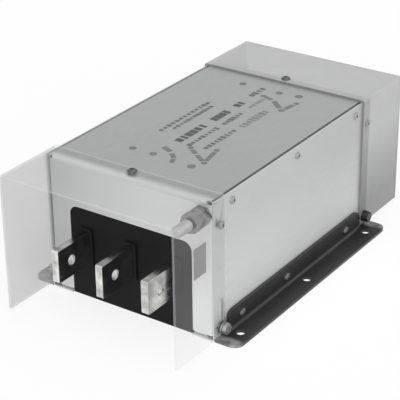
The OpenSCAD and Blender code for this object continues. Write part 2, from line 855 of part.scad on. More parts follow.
case_tray();
top_cover();
color(steel) end_plate();  // front_end_plate
color(steel) at_end(true) end_plate();  // rear_end_plate
insulator();  // front_insulator
at_end(true) insulator();  // rear_insulator
busbar(bar_xs[0]);  // busbar_left
busbar(bar_xs[1]);  // busbar_centre
busbar(bar_xs[2]);  // busbar_right
hood();  // front_hood
at_end(true) hood();  // rear_hood
mounting_rail(-1);  // mounting_rail_left
mounting_rail(1);  // mounting_rail_right
earth_stud();  // earth_stud_front
at_end(true) earth_stud();  // earth_stud_rear
earth_inner_nuts();
earth_washers();
earth_spring_washers();
earth_outer_nuts();
cover_screws();
cover_nuts();
rail_screws();
rail_nuts();
hood_top_screws();
hood_top_nuts();
hood_side_screws();
hood_side_nuts();
hood_bolts();
hood_bolt_washers();
hood_bolt_nuts();
plate_rivets();
choke_core(false);  // choke_core_front
choke_core(true);  // choke_core_rear
core_cradle();
bar_spacer(false);  // bar_spacer_front
bar_spacer(true);  // bar_spacer_rear
core_strap(false);  // core_strap_front
core_strap(true);  // core_strap_rear
strap_screws();
capacitor_board(false);  // capacitor_board_front
capacitor_board(true);  // capacitor_board_rear
x_capacitor(false, 1);  // x_capacitor_front_1
x_capacitor(false, 2);  // x_capacitor_front_2
x_capacitor(false, 3);  // x_capacitor_front_3
x_capacitor(true, 1);  // x_capacitor_rear_1
x_capacitor(true, 2);  // x_capacitor_rear_2
x_capacitor(true, 3);  // x_capacitor_rear_3
y_capacitors(false);  // y_capacitors_front
y_capacitors(true);  // y_capacitors_rear
resistors(false);  // resistors_front
resistors(true);  // resistors_rear
board_posts();
board_screws();
board_brackets(false);  // board_brackets_front
board_brackets(true);  // board_brackets_rear
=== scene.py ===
"""Finishes, print, threads and studio for a busbar power line filter."""
import math

import bmesh
import bpy
from mathutils import Matrix, Vector

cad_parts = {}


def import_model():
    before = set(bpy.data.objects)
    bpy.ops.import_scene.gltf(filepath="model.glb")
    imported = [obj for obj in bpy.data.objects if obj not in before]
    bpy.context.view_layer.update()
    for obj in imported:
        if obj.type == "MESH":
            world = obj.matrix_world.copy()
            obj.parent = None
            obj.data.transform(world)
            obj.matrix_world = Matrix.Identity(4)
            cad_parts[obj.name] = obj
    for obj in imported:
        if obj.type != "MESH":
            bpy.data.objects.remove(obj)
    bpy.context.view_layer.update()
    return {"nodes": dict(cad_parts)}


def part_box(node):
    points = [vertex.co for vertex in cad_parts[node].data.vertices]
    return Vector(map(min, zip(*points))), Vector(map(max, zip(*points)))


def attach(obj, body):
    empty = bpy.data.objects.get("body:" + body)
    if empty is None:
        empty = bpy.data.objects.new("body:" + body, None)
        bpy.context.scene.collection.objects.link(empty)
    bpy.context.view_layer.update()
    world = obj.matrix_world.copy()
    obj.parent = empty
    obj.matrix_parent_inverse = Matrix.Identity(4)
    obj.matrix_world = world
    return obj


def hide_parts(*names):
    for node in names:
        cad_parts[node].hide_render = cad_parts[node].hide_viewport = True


MM = 0.001
TAU = 2 * math.pi

# cover print
INK_THICK = 0.1 * MM
STROKE_STEP = 0.01 * MM
DOT_SIDES = 20

# earth studs
STUD_RADIUS = 6 * MM
THREAD_PITCH = 1.75 * MM
THREAD_DEPTH = 0.95 * MM
THREAD_SIDES = 28
RINGS_PER_TURN = 6
CHAMFER_TURNS = 0.9
CHAMFER_SHARE = 0.14
STUD_HEAD_SEAT = 1.5 * MM
STUD_HEAD_SIDES = 36

# cross recesses: half the width of a bar, its height and how much of that is sunk
RECESS_BAR = 0.35 * MM
RECESS_THICK = 0.12 * MM
RECESS_SUNK = 0.55

# grey field on the front hood
GREY_FIELD_THICK = 0.15 * MM
GREY_FIELD_SETBACK = 30 * MM
GREY_FIELD_LENGTH = 20 * MM
GREY_FIELD_FOOT = 86 * MM
GREY_FIELD_HEAD = 118 * MM

# studio
FLOOR_WIDTH = 30
FLOOR_DROP = 0.2 * MM
FLOOR_WHITE_SHARE = 0.8
WORLD_WHITE_SHARE = 1.0
WORLD_STRENGTH = 0.45
CAMERA_AZIMUTH = math.radians(34.855)
CAMERA_ELEVATION = math.radians(26.672)
CAMERA_ROLL = math.radians(-0.735)
CAMERA_DISTANCE = 1.5547
CAMERA_TARGET = Vector((-0.0193, 0.0002, 0.0574))
CAMERA_LENS = 131.634
CAMERA_SENSOR = 36.0


# ---------- node trees ----------

class NodeTree:
    """A node tree that is built one node at a time."""

    def __init__(self, tree):
        self.tree = tree

    def feed(self, socket, value):
        """Sets a socket to a plain value, or links another socket to it."""
        if isinstance(value, bpy.types.NodeSocket):
            self.tree.links.new(value, socket)
        else:
            socket.default_value = value

    def add(self, kind, inputs=None, **settings):
        """New node. inputs holds values or sockets by the name or number of the input they feed."""
        node = self.tree.nodes.new(kind)
        for key, value in settings.items():
            setattr(node, key, value)
        for key, value in (inputs or {}).items():
            self.feed(node.inputs[key], value)
        return node

    def maths(self, operation, first, second=0.0):
        return self.add("ShaderNodeMath", {0: first, 1: second}, operation=operation).outputs["Value"]


class Finish(NodeTree):
    """A material whose nodes end in one shader."""

    def __init__(self, name, roughness=0.5, metallic=0.0):
        self.material = bpy.data.materials.new(name)
        self.material.use_nodes = True
        super().__init__(self.material.node_tree)
        self.inputs = self.tree.nodes["Principled BSDF"].inputs
        self.feed(self.inputs["Roughness"], roughness)
        self.feed(self.inputs["Metallic"], metallic)
        self.coords = self.add("ShaderNodeTexCoord").outputs["Object"]

    def noise(self, scale, detail, stretch=(1, 1, 1)):
        """Noise over the object's own coordinates, drawn out along an axis where stretch is small."""
        place = self.add("ShaderNodeMapping", {"Vector": self.coords, "Scale": stretch})
        texture = self.add("ShaderNodeTexNoise", {"Vector": place.outputs["Vector"], "Scale": scale,
                                                  "Detail": detail})
        return texture.outputs["Fac"]

    def remap(self, value, low, high, to_low=0.0, to_high=1.0):
        """Value taken from one range to another, and held inside it."""
        node = self.add("ShaderNodeMapRange", {"Value": value, "From Min": low, "From Max": high,
                                               "To Min": to_low, "To Max": to_high})
        return node.outputs["Result"]

    def contrast(self, noise, reach, to_low=0.0, to_high=1.0):
        """Noise within reach of its middle value, taken to the whole of another range."""
        return self.remap(noise, 0.5 - reach, 0.5 + reach, to_low, to_high)

    def mix(self, factor, first, second):
        """Colour between two others, each a socket or its red, green and blue."""
        first, second = (c + (1,) if isinstance(c, tuple) else c for c in (first, second))
        colour_a, colour_b, colour_result = 6, 7, 2
        node = self.add("ShaderNodeMix", {0: factor, colour_a: first, colour_b: second}, data_type="RGBA")
        return node.outputs[colour_result]

    def tinted(self, colour, brightness):
        """A colour socket times a number."""
        node = self.add("ShaderNodeVectorMath", {0: colour, "Scale": brightness}, operation="SCALE")
        return node.outputs["Vector"]

    def split(self, vector):
        """The X, Y and Z of a vector, by name."""
        return self.add("ShaderNodeSeparateXYZ", {"Vector": vector}).outputs

    def flat_normal(self):
        return self.add("ShaderNodeNewGeometry").outputs["True Normal"]

    def edges(self, radius):
        """1 on sharp edges and 0 on flats, from the angle between the normal and a rounded one."""
        rounded = self.add("ShaderNodeBevel", {"Radius": radius}, samples=4).outputs["Normal"]
        facing = self.add("ShaderNodeNewGeometry").outputs["Normal"]
        likeness = self.add("ShaderNodeVectorMath", {0: rounded, 1: facing}, operation="DOT_PRODUCT")
        return self.remap(likeness.outputs["Value"], 1.0, 0.9)

    def painted_gap_shade(self, body, reach, shut, clear, tone):
        """Body, turned to a darker tone as painted shade in gaps less open than shut and left alone past
        clear.
        """
        hollow = self.add("ShaderNodeAmbientOcclusion", {"Distance": reach, "Normal": self.flat_normal()},
                          samples=6, only_local=True)
        return self.mix(self.remap(hollow.outputs["AO"], shut, clear, 1, 0), body, tone)

    def colour(self, value):
        self.feed(self.inputs["Base Color"], value)

    def rough(self, pattern, smoothest, roughest):
        """Roughness that follows a noise pattern between two values."""
        self.feed(self.inputs["Roughness"], self.contrast(pattern, 0.2, smoothest, roughest))

    def flatten(self):
        """Shades each face by its own flat normal, as folded sheet is."""
        self.feed(self.inputs["Normal"], self.flat_normal())

    def bump(self, height, distance, strength):
        """Relief from a noise pattern, over the flat normal where flatten has set one."""
        node = self.add("ShaderNodeBump", {"Height": height, "Distance": distance, "Strength": strength})
        normal = self.inputs["Normal"]
        if normal.is_linked:
            self.feed(node.inputs["Normal"], normal.links[0].from_socket)
        self.feed(normal, node.outputs["Normal"])


def scaled(tone, factor):
    return tuple(min(1.0, factor * channel) for channel in tone)


# ---------- finishes of the case, rails, bars and fixings ----------

def zinc_sheet(name, tone, grain_along, painted_bend_light=1.15, foot=1.0, front=1.0, left=1.0, end_highlight=1.0):
    """Satin zinc-plated sheet: a faint rolled grain, cloudy plating, rubbed edges and painted shade in its
    seams.

    The numbers are painted light and shade, as a share of its tone: on the long bends, at the
    foot, the front and the left of the case, and a painted highlight in a band along the sheet's two short
    ends."""
    finish = Finish(name, metallic=0.45)
    finish.flatten()
    stretch = tuple(0.05 if axis == grain_along else 1.0 for axis in "XYZ")
    grain = finish.noise(scale=900, detail=4, stretch=stretch)
    cloud = finish.noise(scale=9, detail=3)
    place = finish.split(finish.coords)
    low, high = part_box("case_tray")
    body = finish.mix(finish.contrast(cloud, 0.2), scaled(tone, 0.96), tone)
    # painted light and shade: the sheet made brighter or darker towards the front, the left and the foot, as
    # the lamps fall
    for axis, start, end, brightness in (("Y", high[1], low[1], front), ("X", high[0], low[0], left),
                                         ("Z", 0.8 * high[2], 0.1 * high[2], foot)):
        if brightness != 1.0:
            share = finish.remap(place[axis], start, end)
            body = finish.mix(share, body, finish.tinted(body, brightness))
    # painted highlight in a band along the two short ends, where the cover bends down to its lips
    if end_highlight != 1.0:
        from_middle = finish.maths("ABSOLUTE", place["Y"])
        end_highlight_band = finish.remap(from_middle, high[1] - 11 * MM, high[1] - 4 * MM)
        body = finish.mix(end_highlight_band, body, scaled(tone, end_highlight))
    body = finish.mix(finish.contrast(grain, 0.15, 0, 0.14), body, scaled(tone, 0.8))
    body = finish.mix(finish.edges(1 * MM), body, scaled(tone, 1.15))

    # the right-hand bends face both +X and another way; their tone there is painted shade where the factor
    # is below 1 and a painted highlight where it is above
    facing = finish.split(finish.flat_normal())
    aslant = finish.maths("MAXIMUM", finish.maths("ABSOLUTE", facing["Y"]), facing["Z"])
    on_bend = finish.remap(finish.maths("MULTIPLY", facing["X"], aslant), 0.1, 0.3)
    body = finish.mix(on_bend, body, scaled(tone, painted_bend_light))
    # painted shade in seams and gaps
    finish.colour(finish.painted_gap_shade(body, 4 * MM, 0.25, 0.8, scaled(tone, 0.5)))
    finish.rough(grain, 0.36, 0.5)
    finish.bump(grain, 0.04 * MM, 0.5)
    return finish.material


def moulded_black(name):
    """Black moulding with a fine spark texture and hardly any gloss."""
    finish = Finish(name)
    finish.feed(finish.inputs["Specular IOR Level"], 0.12)
    spark = finish.noise(scale=1400, detail=3)
    cloud = finish.noise(scale=40, detail=3)
    finish.colour(finish.mix(cloud, (0.004, 0.004, 0.005), (0.010, 0.010, 0.011)))
    finish.rough(spark, 0.42, 0.6)
    finish.bump(spark, 0.06 * MM, 0.6)
    return finish.material


def powder_black(name):
    """Black powder coat with orange peel, paler on its edges, with a painted reflection in patches near the
    rails' tips.
    """
    finish = Finish(name)
    cloud = finish.noise(scale=22, detail=4)
    peel = finish.noise(scale=520, detail=2)
    rail_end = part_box("mounting_rail_right")[1][1]
    from_middle = finish.maths("ABSOLUTE", finish.split(finish.coords)["Y"])
    tip = finish.remap(from_middle, rail_end - 13 * MM, rail_end - 7 * MM)
    patchy = finish.contrast(finish.noise(scale=90, detail=4), 0.1, 0.35, 1)
    body = finish.mix(cloud, (0.010, 0.010, 0.011), (0.020, 0.020, 0.021))
    # painted reflection: the gloss coat paler in patches near both tips of the rails
    body = finish.mix(finish.maths("MULTIPLY", tip, patchy), body, (0.30, 0.30, 0.30))
    on_edge = finish.remap(finish.edges(0.6 * MM), 0, 1, 0, 0.5)
    finish.colour(finish.mix(on_edge, body, (0.10, 0.10, 0.10)))
    finish.rough(cloud, 0.30, 0.44)
    finish.bump(peel, 0.1 * MM, 0.5)
    return finish.material


def tinned_copper(name):
    """Tin plating over drawn copper bar: clouded flats, lines along the bar, bright edges and painted shade
    in gaps.
    """
    finish = Finish(name, metallic=1.0)
    drawn = finish.noise(scale=700, detail=4, stretch=(1, 0.04, 1))
    cloud = finish.noise(scale=75, detail=4)
    body = finish.mix(finish.contrast(cloud, 0.15), (0.45, 0.45, 0.44), (0.85, 0.85, 0.835))
    body = finish.mix(finish.edges(0.7 * MM), body, (0.97, 0.97, 0.96))
    # painted shade in the gaps round the bar
    finish.colour(finish.painted_gap_shade(body, 8 * MM, 0.35, 0.85, (0.14, 0.14, 0.138)))
    finish.rough(drawn, 0.10, 0.24)
    finish.bump(drawn, 0.04 * MM, 0.4)
    return finish.material


def plated_fixing(name, tone, roughness, metallic, rear=1.0):
    """Plated fixing, with painted shade where it meets its seat. rear is painted shade: how bright it is
    behind the middle.
    """
    finish = Finish(name, metallic=metallic)
    cloud = finish.noise(scale=260, detail=3)
    body = finish.mix(cloud, scaled(tone, 0.86), tone)
    # painted shade: darker behind the middle, where the rear hood bolts stand in shade
    if rear != 1.0:
        behind = finish.remap(finish.split(finish.coords)["Y"], -10 * MM, 10 * MM)
        body = finish.mix(behind, body, scaled(tone, rear))
    body = finish.mix(finish.edges(0.4 * MM), body, scaled(tone, 1.35 * rear))
    # painted shade where the fixing meets its seat
    finish.colour(finish.painted_gap_shade(body, 3 * MM, 0.3, 0.9, scaled(tone, 0.2)))
    finish.rough(cloud, roughness - 0.06, roughness + 0.1)
    finish.bump(cloud, 0.03 * MM, 0.5)
    return finish.material


# ---------- finish of the hoods ----------

def clear_sheet(name, veils, tones):
    """Clear plastic sheet, which shows as a veil of grey over what is behind it.

    veils is how dense it is on its top, at its left and right, and in its front and rear cuts.
    tones is its colour on its top, high and low on its sides, and in its front and rear cuts; the low side
    tone and the cut tones hold painted shade and painted highlights."""
    finish = Finish(name)
    finish.feed(finish.inputs["IOR"], 1.35)
    finish.flatten()
    low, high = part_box("front_hood")
    haze = finish.noise(scale=14, detail=3)
    place = finish.split(finish.coords)
    facing = finish.split(finish.flat_normal())
    upright = finish.remap(finish.maths("ABSOLUTE", facing["X"]), 0.3, 0.7)

    on_side = finish.remap(place["X"], low[0], high[0], veils["left"], veils["right"])
    past_top = finish.maths("MULTIPLY", upright, finish.maths("SUBTRACT", on_side, veils["top"]))
    veil = finish.maths("ADD", past_top, veils["top"])
    veil = finish.maths("MULTIPLY", veil, finish.contrast(haze, 0.2, 0.95, 1.05))

    # painted shade: the side's tone towards its foot, darker where the foot tone is
    height = finish.remap(place["Z"], 0.2 * high[2], 0.72 * high[2])
    body = finish.mix(upright, tones["top"], finish.mix(height, tones["foot"], tones["side"]))
    body = finish.mix(finish.contrast(haze, 0.2, 0, 0.12), body, (0.6, 0.6, 0.6))

    forwards = finish.maths("MULTIPLY", facing["Y"], -1)
    near_foot = finish.remap(place["Z"], 0.3 * high[2], 0.2 * high[2])
    downwards = finish.maths("MULTIPLY", finish.maths("MULTIPLY", facing["Z"], -1), near_foot)
    # painted highlights and painted shade on the cut faces, by their tones
    for toward, cut in ((forwards, "front_cut"), (facing["Y"], "rear_cut"), (downwards, "front_cut")):
        on_cut = finish.remap(toward, 0.8, 0.95)
        veil = finish.maths("MAXIMUM", veil, finish.maths("MULTIPLY", on_cut, veils[cut]))
        body = finish.mix(on_cut, body, tones[cut])
    finish.feed(finish.inputs["Alpha"], veil)
    finish.colour(body)
    finish.rough(haze, 0.05, 0.12)
    return finish.material


# ---------- finishes of the inside, the label and the print ----------

def two_tone(name, roughness, tones, cloud, relief, depth, strength):
    """Finish that drifts between two tones; cloud and relief are its noises' scale and detail."""
    finish = Finish(name, roughness)
    finish.colour(finish.mix(finish.noise(*cloud), *tones))
    finish.bump(finish.noise(*relief), depth, strength)
    return finish.material


def core_lacquer(name):
    speck = (500, 4)
    return two_tone(name, 0.6, ((0.035, 0.035, 0.038), (0.07, 0.07, 0.075)), speck, speck, 0.1 * MM, 0.6)


def ivory_moulding(name):
    return two_tone(name, 0.5, ((0.60, 0.57, 0.47), (0.68, 0.65, 0.55)), (40, 3), (900, 2), 0.04 * MM, 0.5)


def board_laminate(name):
    weave = (650, 2)
    return two_tone(name, 0.38, ((0.02, 0.075, 0.03), (0.03, 0.11, 0.045)), weave, weave, 0.05 * MM, 0.4)


def capacitor_case(name, dark, light):
    return two_tone(name, 0.32, (dark, light), (70, 3), (700, 2), 0.04 * MM, 0.5)


def label_vinyl(name):
    fibre = (600, 3)
    return two_tone(name, 0.45, ((0.20, 0.20, 0.205), (0.26, 0.26, 0.265)), fibre, fibre, 0.03 * MM, 0.4)


def print_ink(name, dark, light):
    """Screen-printed ink, thin and a little uneven over the sheet's grain."""
    finish = Finish(name, 0.55)
    patch = finish.noise(scale=420, detail=3)
    finish.colour(finish.mix(finish.contrast(patch, 0.15), dark, light))
    finish.bump(finish.noise(scale=900, detail=3, stretch=(1, 0.05, 1)), 0.03 * MM, 0.4)
    return finish.material


# ---------- dressing the CAD nodes ----------

def dress(nodes, names, material):
    for name in names:
        for slot in nodes[name].material_slots:
            slot.material = material


def dress_case(nodes):
    # painted light and shade: the tray lighter towards its foot and front and darker on its right-hand
    # bends; the cover a darker zinc tone, partly its own sheet and partly the shade of a top facing away
    # from the key light, with painted shade on its bends and a painted highlight at its ends
    tray = zinc_sheet("zinc_tray", (0.47, 0.473, 0.476), "Y", painted_bend_light=0.5, foot=1.25, front=1.16)
    cover = zinc_sheet("zinc_cover", (0.345, 0.348, 0.351), "Y", painted_bend_light=0.2, end_highlight=1.7)
    # painted light and shade: the end plates a paler zinc tone, partly to look lit harder, lighter towards
    # the foot and darker towards the left
    end_plate = zinc_sheet("zinc_end", (0.68, 0.683, 0.686), "X", foot=1.25, left=0.72)
    dress(nodes, ["case_tray"], tray)
    dress(nodes, ["top_cover"], cover)
    dress(nodes, ["front_end_plate", "rear_end_plate"], end_plate)
    dress(nodes, ["mounting_rail_left", "mounting_rail_right"], powder_black("rail_powder"))


def dress_terminals(nodes):
    dress(nodes, ["front_insulator", "rear_insulator"], moulded_black("insulator_moulding"))
    dress(nodes, ["busbar_left", "busbar_centre", "busbar_right"], tinned_copper("busbar_tin"))


def dress_hoods(nodes):
    pale = (0.54, 0.542, 0.544)
    grey = (0.47, 0.472, 0.474)
    front_veils = {"top": 0.1, "left": 0.42, "right": 0.08, "front_cut": 0.24, "rear_cut": 0.9}
    # painted highlights: the front hood's cut faces pale, as lit cut edges of clear sheet
    front_tones = {"top": (0.62, 0.625, 0.63), "side": pale, "foot": pale,
                   "front_cut": (0.70, 0.71, 0.72), "rear_cut": (0.95, 0.95, 0.95)}
    rear_veils = {"top": 0.78, "left": 0.72, "right": 0.72, "front_cut": 0.8, "rear_cut": 0.6}
    # painted shade: the rear hood's side darker towards its foot, and its front cut dark
    rear_tones = {"top": (0.5, 0.502, 0.504), "side": grey, "foot": (0.23, 0.232, 0.234),
                  "front_cut": (0.28, 0.28, 0.28), "rear_cut": grey}
    dress(nodes, ["front_hood"], clear_sheet("front_hood_sheet", front_veils, front_tones))
    dress(nodes, ["rear_hood"], clear_sheet("rear_hood_sheet", rear_veils, rear_tones))


def dress_fixings(nodes):
    inner = [name for name in nodes if name.startswith(("board_post", "board_screw", "board_brackets"))]
    inner += [name for name in nodes if name.endswith("_nuts") and not name.startswith("earth_")]
    inner += ["core_strap_front", "core_strap_rear", "strap_screws", "plate_rivets"]
    earth = [name for name in nodes if name.startswith("earth_")]

    # nodes, then the finish's name, tone, roughness, how metallic it is and how bright at the rear, as
    # painted shade
    fixings = (
        (inner, "zinc_fixing", (0.62, 0.62, 0.61), 0.28, 0.95, 1.0),
        (earth, "earth_zinc", (0.24, 0.24, 0.236), 0.2, 0.95, 1.0),
        (["cover_screws"], "cover_screw_zinc", (0.36, 0.36, 0.36), 0.4, 0.6, 1.0),
        (["rail_screws"], "rail_screw_zinc", (0.16, 0.16, 0.16), 0.35, 0.95, 1.0),
        (["hood_top_screws"], "top_screw_zinc", (0.10, 0.10, 0.10), 0.4, 0.6, 1.0),
        (["hood_side_screws"], "side_screw_zinc", (0.30, 0.30, 0.30), 0.4, 0.5, 1.0),
        (["hood_bolt_washers"], "washer_phosphate", (0.05, 0.05, 0.052), 0.42, 0.6, 1.0),
        (["hood_bolts"], "bolt_zinc", (0.45, 0.45, 0.45), 0.3, 0.8, 0.1),
    )
    for names, *finish in fixings:
        dress(nodes, names, plated_fixing(*finish))


def dress_inside(nodes):
    across_lines = [name for name in nodes if name.startswith("x_capacitor")]
    ochre = capacitor_case("capacitor_ochre", (0.50, 0.36, 0.06), (0.58, 0.43, 0.09))
    blue = capacitor_case("capacitor_blue", (0.02, 0.06, 0.24), (0.03, 0.09, 0.30))
    tan = capacitor_case("resistor_lacquer", (0.42, 0.30, 0.16), (0.52, 0.38, 0.22))
    dress(nodes, ["choke_core_front", "choke_core_rear"], core_lacquer("core_lacquer"))
    dress(nodes, ["core_cradle", "bar_spacer_front", "bar_spacer_rear"], ivory_moulding("spacer_moulding"))
    dress(nodes, ["capacitor_board_front", "capacitor_board_rear"], board_laminate("board_laminate"))
    dress(nodes, across_lines, ochre)
    dress(nodes, ["y_capacitors_front", "y_capacitors_rear"], blue)
    dress(nodes, ["resistors_front", "resistors_rear"], tan)


# ---------- pieces ----------

def add_piece(name, mesh, material):
    piece = bpy.data.objects.new(name, mesh)
    bpy.context.scene.collection.objects.link(piece)
    mesh.materials.clear()
    mesh.materials.append(material)
    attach(piece, "root")
    return piece


def mesh_from(name, build):
    """Mesh filled by build(bm), with its faces turned outwards."""
    bm = bmesh.new()
    build(bm)
    bmesh.ops.recalc_face_normals(bm, faces=bm.faces)
    mesh = bpy.data.meshes.new(name)
    bm.to_mesh(mesh)
    bm.free()
    return mesh


def add_slab(bm, low, high, turn=0.0):
    """Block between two corners, turned about its own upright middle line."""
    low, high = Vector(low), Vector(high)
    size = Matrix.Diagonal(high - low).to_4x4()
    matrix = Matrix.Translation((low + high) / 2) @ Matrix.Rotation(turn, 4, "Z") @ size
    bmesh.ops.create_cube(bm, size=1, matrix=matrix)


def add_disc(bm, sides, radius, depth, matrix):
    bmesh.ops.create_cone(bm, cap_ends=True, segments=sides, radius1=radius, radius2=radius,
                          depth=depth, matrix=matrix)


# ---------- print on the cover ----------

class FieldRow(NodeTree):
    """Geometry Nodes that lay a row of printed fields along Y, each a slab of its own length."""

    INPUTS = (("Start", "NodeSocketVector"), ("Count", "NodeSocketInt"), ("Pitch", "NodeSocketFloat"),
              ("Width", "NodeSocketFloat"), ("Thickness", "NodeSocketFloat"),
              ("Narrowest", "NodeSocketFloat"), ("Seed", "NodeSocketInt"), ("Ink", "NodeSocketMaterial"))
    SHORTEST = 0.45
    LONGEST = 0.96

    def __init__(self):
        super().__init__(bpy.data.node_groups.new("print_field_row", "GeometryNodeTree"))
        interface = self.tree.interface
        interface.new_socket("Geometry", in_out="OUTPUT", socket_type="NodeSocketGeometry")
        self.keys = {}
        for name, kind in self.INPUTS:
            self.keys[name] = interface.new_socket(name, in_out="INPUT", socket_type=kind).identifier
        given = self.add("NodeGroupInput").outputs
        size = self.vector(given["Width"], given["Pitch"], given["Thickness"])
        least = self.vector(given["Narrowest"], self.SHORTEST, 1)
        line = self.add("GeometryNodeMeshLine", {"Count": given["Count"], "Start Location": given["Start"],
                                                 "Offset": self.vector(0, given["Pitch"], 0)})
        field = self.add("GeometryNodeMeshCube", {"Size": size})
        share = self.add("FunctionNodeRandomValue", {"Min": least, "Max": (1, self.LONGEST, 1),
                                                     "Seed": given["Seed"]}, data_type="FLOAT_VECTOR")
        fields = self.add("GeometryNodeInstanceOnPoints", {"Points": line.outputs["Mesh"],
                                                           "Instance": field.outputs["Mesh"],
                                                           "Scale": share.outputs[0]})
        real = self.add("GeometryNodeRealizeInstances", {"Geometry": fields.outputs["Instances"]})
        inked = self.add("GeometryNodeSetMaterial", {"Geometry": real.outputs["Geometry"],
                                                     "Material": given["Ink"]})
        self.add("NodeGroupOutput", {"Geometry": inked.outputs["Geometry"]})

    def vector(self, x, y, z):
        return self.add("ShaderNodeCombineXYZ", {"X": x, "Y": y, "Z": z}).outputs["Vector"]

    def mesh(self, name, **values):
        """Plain mesh of one row; values are the tree's inputs, in small letters."""
        carrier = bpy.data.objects.new(name, bpy.data.meshes.new(name))
        modifier = carrier.modifiers.new("fields", "NODES")
        modifier.node_group = self.tree
        for key, value in values.items():
            modifier[self.keys[key.capitalize()]] = value
        bpy.context.scene.collection.objects.link(carrier)
        evaluated = carrier.evaluated_get(bpy.context.evaluated_depsgraph_get())
        mesh = bpy.data.meshes.new_from_object(evaluated)
        carrier.modifiers.remove(modifier)
        bpy.data.objects.remove(carrier)
        return mesh


def add_print_rows(front, top, bold, plain, faint):
    """Rows of plain fields, in millimetres from the cover's middle line and its front edge."""
    # name, x, start, end, field pitch, width, ink, seed, how much narrower a field may be
    rows = (
        ("print_row_a1", -37, 108, 200, 7.0, 6.0, plain, 3, 0.4),
        ("print_row_a2", -28.5, 120, 192, 6.0, 5.5, plain, 5, 0.45),
        ("print_row_b1", -7, 98, 147, 8.3, 9.5, bold, 8, 0.1),
        ("print_row_b2", -7, 161, 190, 7.4, 9.5, bold, 11, 0.1),
        ("print_row_b3", -7, 204, 218, 7.4, 9.0, bold, 14, 0.1),
        ("print_row_b4", -9, 236, 262, 7.0, 8.0, plain, 16, 0.3),
        ("print_row_c1", 8, 94, 146, 6.0, 6.5, plain, 19, 0.45),
        ("print_row_c2", 8, 157, 192, 6.0, 7.0, plain, 23, 0.35),
        ("print_row_c3", 7, 208, 236, 6.0, 5.0, faint, 25, 0.4),
        ("print_row_d1", 26, 97, 150, 6.2, 7.0, plain, 27, 0.4),
        ("print_row_d2", 27, 161, 210, 6.4, 9.5, faint, 31, 0.3),
    )
    tree = FieldRow()
    for name, x, start, end, pitch, width, ink, seed, narrowing in rows:
        first = (x * MM, front + start * MM, top + INK_THICK / 2)
        count = max(2, round((end - start) / pitch))
        mesh = tree.mesh(name, start=first, count=count, pitch=pitch * MM, width=width * MM,
                         thickness=INK_THICK, narrowest=1 - narrowing, seed=seed, ink=ink)
        add_piece(name, mesh, ink)


def add_print_sketches(front, top, ink):
    """Wiring sketches of dots (x, y, radius) and strokes (x0, y0, x1, y1, width), in millimetres.

    Each stroke stands a little higher than the one before, so that no two share a plane."""
    sketches = (
        ("print_sketch_front",
         ((-35, 57, 4), (-10, 57, 4), (38, 54, 4.5), (13, 89, 3.2), (38, 98, 3.2), (44, 67, 3.2)),
         ((-11, 76, 1, 71, 6), (5, 68, 13, 60, 5), (14, 58, 17, 50, 5),
          (17, 86, 25, 80, 5), (28, 78, 40, 70, 5), (43, 72, 39, 93, 5))),
        ("print_sketch_rear",
         ((-35, 258, 4), (12, 257, 4), (35, 260, 4.5), (2, 241, 3.2), (39, 218, 3.6), (43, 242, 3.2)),
         ((5, 240, 15, 237, 5), (19, 235, 34, 222, 6), (40, 223, 42, 237, 5.5))),
    )
    for name, dots, strokes in sketches:
        def build(bm):
            for x, y, radius in dots:
                place = Matrix.Translation((x * MM, front + y * MM, top + INK_THICK / 2))
                add_disc(bm, DOT_SIDES, radius * MM, INK_THICK, place)
            for rank, (x0, y0, x1, y1, width) in enumerate(strokes, 1):
                half = Vector((math.hypot(x1 - x0, y1 - y0), width, 0)) / 2 * MM
                middle = Vector(((x0 + x1) / 2 * MM, front + (y0 + y1) / 2 * MM, top))
                rise = Vector((0, 0, INK_THICK + rank * STROKE_STEP))
                add_slab(bm, middle - half, middle + half + rise, math.atan2(y1 - y0, x1 - x0))

        add_piece(name, mesh_from(name, build), ink)


def add_cover_print():
    """Plain fields in rows and two simple wiring sketches, one at each end of the cover."""
    low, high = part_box("top_cover")
    bold = print_ink("ink_bold", (0.035, 0.035, 0.037), (0.06, 0.06, 0.062))
    plain = print_ink("ink_plain", (0.08, 0.08, 0.082), (0.13, 0.13, 0.133))
    middling = print_ink("ink_middling", (0.12, 0.12, 0.122), (0.17, 0.17, 0.173))
    faint = print_ink("ink_faint", (0.16, 0.16, 0.163), (0.20, 0.20, 0.204))
    add_print_rows(low[1], high[2], bold, plain, faint)
    add_print_sketches(low[1], high[2], middling)


# ---------- earth studs ----------

def add_threaded_shaft(bm, x, z, tip, root, sign):
    """Shaft along Y with a helical thread, from its chamfered tip to its root at the plate."""
    length = abs(root - tip)
    steps = int(round(length / THREAD_PITCH * RINGS_PER_TURN))
    rings = []
    for i in range(steps + 1):
        turns = i / steps * length / THREAD_PITCH
        chamfer = 1 - CHAMFER_SHARE * (1 - min(1.0, turns / CHAMFER_TURNS))
        ring = []
        for k in range(THREAD_SIDES):
            angle = TAU * k / THREAD_SIDES
            phase = (turns + sign * k / THREAD_SIDES) % 1.0
            crest = abs(2 * phase - 1)
            radius = (STUD_RADIUS - THREAD_DEPTH * (1 - crest)) * chamfer
            ring.append(bm.verts.new((x + radius * math.cos(angle), tip + (root - tip) * i / steps,
                                      z + radius * math.sin(angle))))
        rings.append(ring)
    for first, second in zip(rings, rings[1:]):
        for k in range(THREAD_SIDES):
            after = (k + 1) % THREAD_SIDES
            bm.faces.new((first[k], first[after], second[after], second[k]))
    bm.faces.new(rings[0])
    bm.faces.new(list(reversed(rings[-1])))


